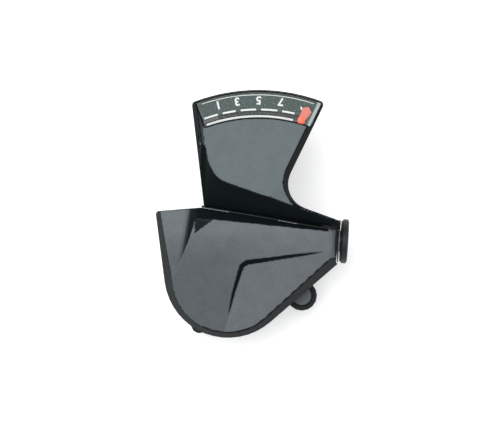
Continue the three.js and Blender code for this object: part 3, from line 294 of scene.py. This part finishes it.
def metal(name, colour, roughness, line_mm, spread):
    material, shader = new_material(name, colour, roughness, 1.0)
    place = add_node(material, "ShaderNodeTexCoord")
    stretch = add_node(material, "ShaderNodeMapping", {"Scale": (1.0, LINE_STRETCH, LINE_STRETCH)},
                       {"Vector": place.outputs["Object"]})
    lines = add_node(material, "ShaderNodeTexNoise",
                     {"Scale": 1 / (line_mm * LINE_STRETCH * MM), "Detail": 4.0},
                     {"Vector": stretch.outputs["Vector"]})
    rough = add_node(material, "ShaderNodeMapRange",
                     {"To Min": roughness - spread, "To Max": roughness + spread},
                     {"Value": lines.outputs["Fac"]})
    bump = add_node(material, "ShaderNodeBump", {"Strength": 0.5, "Distance": 0.008 * MM},
                    {"Height": lines.outputs["Fac"]})
    material.node_tree.links.new(rough.outputs["Result"], shader.inputs["Roughness"])
    material.node_tree.links.new(bump.outputs["Normal"], shader.inputs["Normal"])
    return material


zinc_steel = metal("zinc_plated_steel", "#a3a6a8", 0.34, 0.25, 0.1)
black_steel = metal("black_plated_steel", "#4a4e50", 0.36, 0.3, 0.08)
turned_brass = metal("turned_brass", "#b8974f", 0.3, 0.2, 0.08)
black_aluminium = metal("black_anodised_aluminium", "#35393b", 0.42, 0.3, 0.08)
print("metals:", zinc_steel.name, black_steel.name, turned_brass.name, black_aluminium.name)

# %% [markdown]
# ### Clear window and white print
# The window is moulded polycarbonate. Thin and clear, it shows as little more than its
# gloss, so it is mostly see-through with a smooth surface. Its end wall gets a pale,
# nearly opaque colour: painted light, standing for the light that gathers in a clear edge.
# The marks on the dial are pad-printed ink.

# %% Clear window and white print
clear_plastic, shader = new_material("clear_polycarbonate", "#9fb0aa", 0.08, Alpha=0.05)
mould_grain(clear_plastic, shader, "#9fb0aa", 6.0, 0.002, 0.03)

# Pale colour on the window's end wall: painted light gathering in the clear edge.
window_edge_painted_light, shader = new_material("painted_light_on_window_edge", "#b9c8c2", 0.2, Alpha=0.8)
mould_grain(window_edge_painted_light, shader, "#b9c8c2", 1.5, 0.01, 0.1)

white_ink, shader = new_material("white_pad_print", "#eef2f1", 0.5)
mould_grain(white_ink, shader, "#eef2f1", 0.3, 0.006, 0.04)

dial_ground, shader = new_material("grey_green_dial_ink", "#3c4a48", 0.6,
                                   Specular_IOR_Level=0.15)
mould_grain(dial_ground, shader, "#3c4a48", 0.35, 0.006, 0.12)

rim_ink, shader = new_material("dark_dial_ink", "#39403f", 0.6, Specular_IOR_Level=0.15)
mould_grain(rim_ink, shader, "#39403f", 0.3, 0.006, 0.2)

# The black bands along the pointer's slot are no print: they are painted shade where the slot lies
# deep.
slot_shade_ink, shader = new_material("painted_slot_shade", "#060808", 0.8, Specular_IOR_Level=0.08)
mould_grain(slot_shade_ink, shader, "#060808", 0.5, 0.006, 0.1)
print("window and ink:", clear_plastic.name, white_ink.name)

# %% [markdown]
# ## Parts that are cut or stamped
# The solid parts have hard edges, but no real edge is perfectly sharp. A copy of each
# part gets its loose triangles merged and flat faces joined, then a narrow bevel on
# every hard edge. Faces that meet softly are shaded as one curve.

# %% Parts that are cut or stamped
SOFT_ANGLE = radians(32)
FLAT_ANGLE = radians(1.5)
MERGE_DISTANCE = 0.002 * MM


def merged_copy(name):
    shape = bmesh.new()
    shape.from_mesh(frame["nodes"][name].data)
    bmesh.ops.remove_doubles(shape, verts=shape.verts, dist=MERGE_DISTANCE)
    bmesh.ops.dissolve_degenerate(shape, dist=MERGE_DISTANCE, edges=shape.edges)
    return shape


def finished(name, shape, looks, *stands_for):
    mesh = bpy.data.meshes.new(name)
    shape.to_mesh(mesh)
    shape.free()
    piece = bpy.data.objects.new(name, mesh)
    bpy.context.collection.objects.link(piece)
    for material in looks:
        mesh.materials.append(material)
    if stands_for:
        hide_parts(*stands_for)
    return piece


def cut_part(name, material, edge_mm=0.15):
    shape = merged_copy(name)
    bmesh.ops.dissolve_limit(shape, angle_limit=FLAT_ANGLE, use_dissolve_boundaries=False,
                             verts=shape.verts, edges=shape.edges)
    for face in shape.faces:
        face.smooth = True
    for edge in shape.edges:
        edge.smooth = edge.calc_face_angle(0) < SOFT_ANGLE
    piece = finished(name + "_finished", shape, [material], name)
    bevel = piece.modifiers.new("soft edge", "BEVEL")
    bevel.width = edge_mm * MM
    bevel.segments = 2
    bevel.limit_method = "ANGLE"
    bevel.angle_limit = SOFT_ANGLE
    bevel.harden_normals = True
    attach(piece, frame["nodes"][name]["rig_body"])
    return piece


STEEL_PARTS = ["base_plate", "pointer_pivot_pin", "main_axle", "axle_washer", "ratchet_plate",
               "main_lever_plate", "release_lever_plate", "feed_pawl", "position_pawl",
               "drum_return_spring", "release_lever_spring", "main_lever_spring",
               "feed_pawl_spring", "position_pawl_spring"]
BLACK_STEEL_PARTS = ["clamp_bolt", "axle_clip", "axle_nut", "feed_pawl_pin", "position_pawl_pin",
                     "adjuster_barrel", "cover_screw_1", "cover_screw_2", "cover_screw_3",
                     "indicator_screw_1", "indicator_screw_2", "display_screw_1",
                     "display_screw_2"]
ACETAL_PARTS = ["scale_plate", "indicator_base", "cable_drum"]

for name in STEEL_PARTS:
    cut_part(name, zinc_steel)
for name in BLACK_STEEL_PARTS:
    cut_part(name, black_steel)
for name in ACETAL_PARTS:
    cut_part(name, grey_acetal)
cut_part("axle_bush", turned_brass)
cut_part("clamp_band", black_aluminium, 0.3)
cut_part("inner_hole_cap", black_nylon)
cut_part("adjuster_washer", grey_abs, 0.08)
cut_part("release_tab_cap", grey_abs, 0.2)
print("cut and stamped parts:", len(STEEL_PARTS + BLACK_STEEL_PARTS + ACETAL_PARTS) + 5)

# %% [markdown]
# ## Parts from a mould
# A mould has no sharp edges at all. Instead of choosing edges to bevel, the whole part is
# remeshed into small even squares and smoothed a few times, as if sanded. Edges end up
# softly rounded. A wall has to be several squares thick: one that is about as thin as a
# square comes out ragged, as the rim of the display housing does here.

# %% Parts from a mould
def moulded_part(name, looks, square_mm, sanding, edit=None):
    rough_piece = finished(name + "_rough", merged_copy(name), [])
    remesh = rough_piece.modifiers.new("even squares", "REMESH")
    remesh.mode = "VOXEL"
    remesh.voxel_size = square_mm * MM
    smooth = rough_piece.modifiers.new("sanded", "SMOOTH")
    smooth.factor = 0.5
    smooth.iterations = sanding
    bpy.context.view_layer.update()
    even = rough_piece.evaluated_get(bpy.context.evaluated_depsgraph_get())
    shape = bmesh.new()
    shape.from_mesh(even.to_mesh())
    even.to_mesh_clear()
    bpy.data.objects.remove(rough_piece)
    for face in shape.faces:
        face.smooth = True
    shape.normal_update()
    if edit:
        edit(shape)
    piece = finished(name + "_moulded", shape, looks, name)
    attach(piece, frame["nodes"][name]["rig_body"])
    print(name, len(piece.data.polygons), "squares")
    return piece


def clamp(value):
    return min(1.0, max(0.0, value))


# How much grey each point gets follows how far its face looks up: steep faces go dark, which is
# partly bare black nylon and partly painted shade.
def slope_shade_and_spray(grey_and_shade_at):
    def edit(shape):
        paint_and_shade = shape.verts.layers.float.new("paint_and_shade")
        for vert in shape.verts:
            limit, band, grey_share_with_shade = grey_and_shade_at(vert.co / MM)
            vert[paint_and_shade] = grey_share_with_shade * clamp((vert.normal.z - limit) / band)
    return edit


# %% [markdown]
# ### Top cover
# The cover's big panels face almost straight up. On its left side is a shallow scoop,
# where the paint covers steeper ground as well. The grey is made thinner towards the lower
# left, on the front panel right of the crease and on the wedge by the panel's corner: that
# is painted shade. Each set below is three numbers: how far up a face has to look to catch
# any grey, how fast the grey thickens past that, and how much grey it gets at most.

# %% Top cover
SCOOP_LIMIT_X = -13.0
OUTLET_END = Vector((25.0, -32.4))
WEDGE_END_X = -15.2
PANEL_CORNER = Vector((-9.75, -20.9))
WEDGE_SLOPE = 0.73
# Least grey at the lower left of the cover: painted shade where the panel curves away from the
# light.
SHADED_GREY_SHARE = 0.66
# The wedge by the panel's corner gets little grey: painted shade on its steep face.
WEDGE_PAINTED_SHADE = (0.97, 0.1, 0.5)
OUTLET_PAINT = (-0.2, 0.3, 0.86)
SCOOP_CATCH = (0.62, 0.16)
PANEL_CATCH = (0.93, 0.04)
CREASE_Y = -33
CREASE_LEAN = 0.3
# Less grey on the front panel right of the crease: painted shade.
FRONT_PANEL_SHADED_SHARE = 0.86
# Where the painted shade at the lower left starts fading out, and over what lengths.
SHADE_FADE_START = Vector((-12, -40))
SHADE_FADE_LENGTH = Vector((18, 16))


def cover_grey_and_shade_at(place):
    # The wedge by the panel's corner is kept dark: painted shade.
    in_wedge = WEDGE_END_X < place.x < PANEL_CORNER.x
    if in_wedge and place.y > PANEL_CORNER.y + WEDGE_SLOPE * (place.x - PANEL_CORNER.x):
        return WEDGE_PAINTED_SHADE
    before_crease = place.y < CREASE_Y
    right_of_crease = place.x - CREASE_LEAN * (place.y - CREASE_Y) > 0
    # Less grey towards the lower left: painted shade on the part of the panel that turns away from
    # the light.
    from_right = clamp((place.x - SHADE_FADE_START.x) / SHADE_FADE_LENGTH.x)
    from_back = clamp((place.y - SHADE_FADE_START.y) / SHADE_FADE_LENGTH.y)
    grey_share_with_shade = SHADED_GREY_SHARE + (1 - SHADED_GREY_SHARE) * max(from_right * from_back, from_back ** 3)
    # The front panel right of the crease gets less grey: painted shade.
    if before_crease and right_of_crease:
        grey_share_with_shade = FRONT_PANEL_SHADED_SHARE
    if place.x < SCOOP_LIMIT_X:
        return *SCOOP_CATCH, grey_share_with_shade
    if place.x > OUTLET_END.x and place.y > OUTLET_END.y:
        return OUTLET_PAINT
    return *PANEL_CATCH, grey_share_with_shade


moulded_part("top_cover", [cover_grey_and_shade], 0.32, 3, slope_shade_and_spray(cover_grey_and_shade_at))

# %% [markdown]
# ### Display housing
# Only the flat top of the fan is grey. The slope in front of it, the arm over the cable
# and the drafted sides stay black, and the left side gets only a quarter of the grey;
# this dark is partly bare black nylon and partly painted shade.

# %% Display housing
PIVOT = Vector((3.85, -36.3, 0)) * MM
RIM_FROM_X = -13.4
RIM_REACH = 53.3
PANEL_LEFT = Vector((-13.2, 13.0))
PANEL_LEFT_LEAN = 0.085
NECK_CENTRE = Vector((20.4, -10.2))
NECK_REACH = 8.8
CREASE_FROM = Vector((4.05, -13.1))
CREASE_TO = Vector((14.6, -16.9))
NECK_BAND = 4
RIM_PAINT = (0.2, 0.9, 0.8)
# The fan's rounded left side gets only a quarter of the grey: painted shade.
LEFT_SIDE_PAINTED_SHADE = (0.965, 0.025, 0.25)
CREASE_PAINT = (0.9, 0.04, 1.0)
FLAT_TOP_PAINT = (0.965, 0.025, 1.0)


def display_grey_and_shade_at(place):
    if (place - PIVOT / MM).xy.length > RIM_REACH and place.x > RIM_FROM_X:
        return RIM_PAINT
    # Left of this line the fan is kept dark: painted shade on its rounded side.
    if place.x < PANEL_LEFT.x + PANEL_LEFT_LEAN * (PANEL_LEFT.y - place.y):
        return LEFT_SIDE_PAINTED_SHADE
    fall = (CREASE_TO.y - CREASE_FROM.y) / (CREASE_TO.x - CREASE_FROM.x)
    above_crease = place.y > CREASE_FROM.y + fall * (place.x - CREASE_FROM.x)
    off_neck = (place.xy - NECK_CENTRE).length > NECK_REACH
    near_crease = place.y < NECK_CENTRE.y + NECK_BAND and place.x < CREASE_TO.x
    if above_crease and off_neck and near_crease:
        return CREASE_PAINT
    return FLAT_TOP_PAINT


moulded_part("display_housing", [display_grey_and_shade], 0.3, 3,
             slope_shade_and_spray(display_grey_and_shade_at))

# %% [markdown]
# ### Body, levers and adjuster
# These are softer still: the lever pads are rubber and have rounded ribs.

# %% Body, levers and adjuster
moulded_part("main_body", [black_nylon], 0.4, 2)
moulded_part("main_lever_pad", [lever_rubber], 0.2, 3)
moulded_part("release_lever_tab", [lever_rubber], 0.2, 3)
moulded_part("adjuster_knob", [black_nylon], 0.16, 2)

# %% [markdown]
# ### Pointer
# The pointer's arm is hidden. What shows is a bright orange spot in the slot and a paler
# head over the gear numbers, so its faces are given two materials by their distance from
# the pointer's pivot.

# %% Pointer
SPOT_REACH = 48.2


def colour_pointer(shape):
    for face in shape.faces:
        middle = face.calc_center_median()
        reach = Vector((middle.x - PIVOT.x, middle.y - PIVOT.y)).length / MM
        face.material_index = 1 if reach > SPOT_REACH else 0


moulded_part("pointer", [orange_abs, coral_abs], 0.12, 2, colour_pointer)

# %% [markdown]
# The bright spot stands a hair above the head, as a small raised dot: a disc, extruded,
# with its rim bevelled.

# %% Bright spot of the pointer
SPOT_RADIUS = 1.2
SPOT_RISE = 0.16
SPOT_PLACE = (46.9, 15.9)
SPOT_EDGE = 0.12


def dial_point(radius_mm, clockwise, height=0.0):
    turn = radians(clockwise)
    return PIVOT + Vector((radius_mm * sin(turn), radius_mm * cos(turn), 0)) * MM \
        + Vector((0, 0, height))


def pointer_spot():
    flag_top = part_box("pointer")[1].z
    shape = bmesh.new()
    bmesh.ops.create_circle(shape, cap_ends=True, segments=40, radius=SPOT_RADIUS * MM)
    raised = bmesh.ops.extrude_face_region(shape, geom=shape.faces[:])
    tops = [part for part in raised["geom"] if isinstance(part, bmesh.types.BMVert)]
    bmesh.ops.translate(shape, verts=tops, vec=(0, 0, 2 * SPOT_RISE * MM))
    bmesh.ops.recalc_face_normals(shape, faces=shape.faces)
    rim = [edge for edge in shape.edges if all(v in tops for v in edge.verts)]
    bmesh.ops.bevel(shape, geom=rim, offset=SPOT_EDGE * MM, offset_type="OFFSET", segments=3,
                    profile=0.5, affect="EDGES", material=-1)
    bmesh.ops.translate(shape, verts=shape.verts,
                        vec=dial_point(*SPOT_PLACE, flag_top - SPOT_RISE * MM))
    for face in shape.faces:
        face.smooth = True
    piece = finished("pointer_spot", shape, [painted_glow_orange])
    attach(piece, frame["nodes"]["pointer"]["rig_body"])
    return piece


pointer_spot()
print("spot radius", SPOT_RADIUS, "mm")

# %% [markdown]
# ## Seam lip
# The display housing ends in a lip that closes the seam in front of the top cover. It is
# a line of points along the seam, pulled back into a strip and thickened.

# %% Seam lip
SEAM = [(28.0, -24.0), (20.6, -22.98), (5.3, -20.28), (-13.2, -17.22)]
LIP_WIDTH = 0.7
LIP_THICKNESS = 0.8
LIP_TOP = 10.3
SEAM_FALL = 0.065
SEAM_OVERLAP = 0.03


def seam_lip():
    shape = bmesh.new()
    line = [shape.verts.new(Vector((x, y + SEAM_OVERLAP, LIP_TOP - SEAM_FALL * max(x, 0))) * MM)
            for x, y in SEAM]
    edges = [shape.edges.new(pair) for pair in zip(line, line[1:])]
    strip = bmesh.ops.extrude_edge_only(shape, edges=edges)
    back = [part for part in strip["geom"] if isinstance(part, bmesh.types.BMVert)]
    bmesh.ops.translate(shape, verts=back, vec=(0, LIP_WIDTH * MM, 0))
    low = bmesh.ops.extrude_face_region(shape, geom=shape.faces[:])
    sunk = [part for part in low["geom"] if isinstance(part, bmesh.types.BMVert)]
    bmesh.ops.translate(shape, verts=sunk, vec=(0, 0, -LIP_THICKNESS * MM))
    bmesh.ops.recalc_face_normals(shape, faces=shape.faces)
    piece = finished("display_seam_lip", shape, [black_nylon])
    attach(piece, frame["nodes"]["display_housing"]["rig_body"])
    return piece


seam_lip()
print("seam lip", LIP_WIDTH, "mm wide")

# %% [markdown]
# ## Window
# The window's flat plate and its pale end wall, coloured with painted light, are one part
# with two looks.

# %% Window
END_WALL_X = 17


def colour_window(shape):
    for face in shape.faces:
        middle = face.calc_center_median() / MM
        end_wall = middle.x > END_WALL_X and abs(face.normal.z) < 0.5
        face.material_index = 1 if end_wall else 0


def window_part():
    shape = merged_copy("display_lens")
    shape.normal_update()
    colour_window(shape)
    for edge in shape.edges:
        edge.smooth = edge.calc_face_angle(0) < SOFT_ANGLE
    for face in shape.faces:
        face.smooth = True
    piece = finished("display_window", shape, [clear_plastic, window_edge_painted_light], "display_lens")
    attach(piece, frame["nodes"]["display_lens"]["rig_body"])
    return piece


window = window_part()
print("window faces", len(window.data.polygons))

# %% [markdown]
# ## Dial print
# The marks on the dial are arcs about the pointer's pivot. Each is one short edge spun
# about that pivot into a ribbon, then thickened to the height of a layer of ink.
# Angles are counted clockwise from straight ahead, as a rider reads the dial.

# %% Dial print
DIAL_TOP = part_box("scale_plate")[1].z
INK = 0.03 * MM
FIRST_DASH = -19.5
LAST_DASH = 12.9


def ribbon(name, radius_mm, width_mm, start, end, material, below=0.0):
    shape = bmesh.new()
    foot = DIAL_TOP - INK * (1 + below)
    low = shape.verts.new(dial_point(radius_mm - width_mm / 2, start, foot))
    high = shape.verts.new(dial_point(radius_mm + width_mm / 2, start, foot))
    edge = shape.edges.new((low, high))
    bmesh.ops.spin(shape, geom=[edge, low, high], cent=PIVOT, axis=(0, 0, -1),
                   angle=radians(end - start), steps=max(3, int(end - start) * 2))
    top = bmesh.ops.extrude_face_region(shape, geom=shape.faces[:])
    raised = [part for part in top["geom"] if isinstance(part, bmesh.types.BMVert)]
    bmesh.ops.translate(shape, verts=raised, vec=(0, 0, 2 * INK))
    bmesh.ops.recalc_face_normals(shape, faces=shape.faces)
    piece = finished(name, shape, [material])
    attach(piece, "housing")
    return piece


ribbon("number_ground", 50.7, 4.1, -19.5, 19.5, dial_ground, below=0.4)
ribbon("rim_ground", 53.25, 0.85, -18.6, 18.4, rim_ink, below=0.4)
# Two black bands line the pointer's slot: painted shade at the slot's edges.
ribbon("slot_shade_inner", 46.93, 0.32, -19.6, 17.5, slot_shade_ink, below=0.4)
ribbon("slot_shade_outer", 48.06, 0.3, -19.6, 17.5, slot_shade_ink, below=0.4)
ribbon("outer_dial_line", 52.85, 0.22, -18.6, 18.4, white_ink)
ribbon("inner_dial_line", 46.45, 0.62, -19.4, LAST_DASH, white_ink)

ODD_GEARS = {"1": -13.6, "3": -7.15, "5": 0.1, "7": 7.6, "9": 15.3}
HALF_GAP = 0.9
dash_start = FIRST_DASH
for number, (gear, clockwise) in enumerate(ODD_GEARS.items(), 1):
    dash_end = clockwise - HALF_GAP
    if gear == "9":
        dash_end = LAST_DASH
    ribbon("dial_dash_%d" % number, 48.45, 0.55, dash_start, dash_end, white_ink)
    dash_start = clockwise + HALF_GAP
print("dial top at", round(DIAL_TOP / MM, 2), "mm")

# %% [markdown]
# ## Gear numbers
# Only every second gear has room for its number. The rider looks from the far side, so
# the numbers stand on their heads here, their feet towards the rim. A text becomes a
# mesh before it is put in place.

# %% Gear numbers
NUMBER_RADIUS = 51.3
NUMBER_HEIGHT = 2.3
CAPITAL_SHARE = 0.69  # height of a digit as a share of the font size
NUMBER_BOLDNESS = 0.1


def gear_number(text, clockwise):
    curve = bpy.data.curves.new("gear_" + text, "FONT")
    curve.body = text
    curve.size = NUMBER_HEIGHT / CAPITAL_SHARE * MM
    curve.extrude = INK
    curve.offset = NUMBER_BOLDNESS * MM
    curve.align_x = "CENTER"
    curve.align_y = "CENTER"
    letter = bpy.data.objects.new("gear_letter", curve)
    bpy.context.collection.objects.link(letter)
    bpy.context.view_layer.update()
    mesh = bpy.data.meshes.new_from_object(
        letter.evaluated_get(bpy.context.evaluated_depsgraph_get()))
    bpy.data.objects.remove(letter)
    turn = Matrix.Rotation(radians(180 - clockwise), 4, "Z")
    mesh.transform(Matrix.Translation(dial_point(NUMBER_RADIUS, clockwise, DIAL_TOP)) @ turn)
    mesh.materials.clear()
    mesh.materials.append(white_ink)
    piece = bpy.data.objects.new("gear_number_" + text, mesh)
    bpy.context.collection.objects.link(piece)
    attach(piece, "housing")
    return piece


for gear, clockwise in ODD_GEARS.items():
    gear_number(gear, clockwise)
print("gear numbers:", " ".join(ODD_GEARS))

# %% [markdown]
# ## Last step

# %% Finish
print("finished")
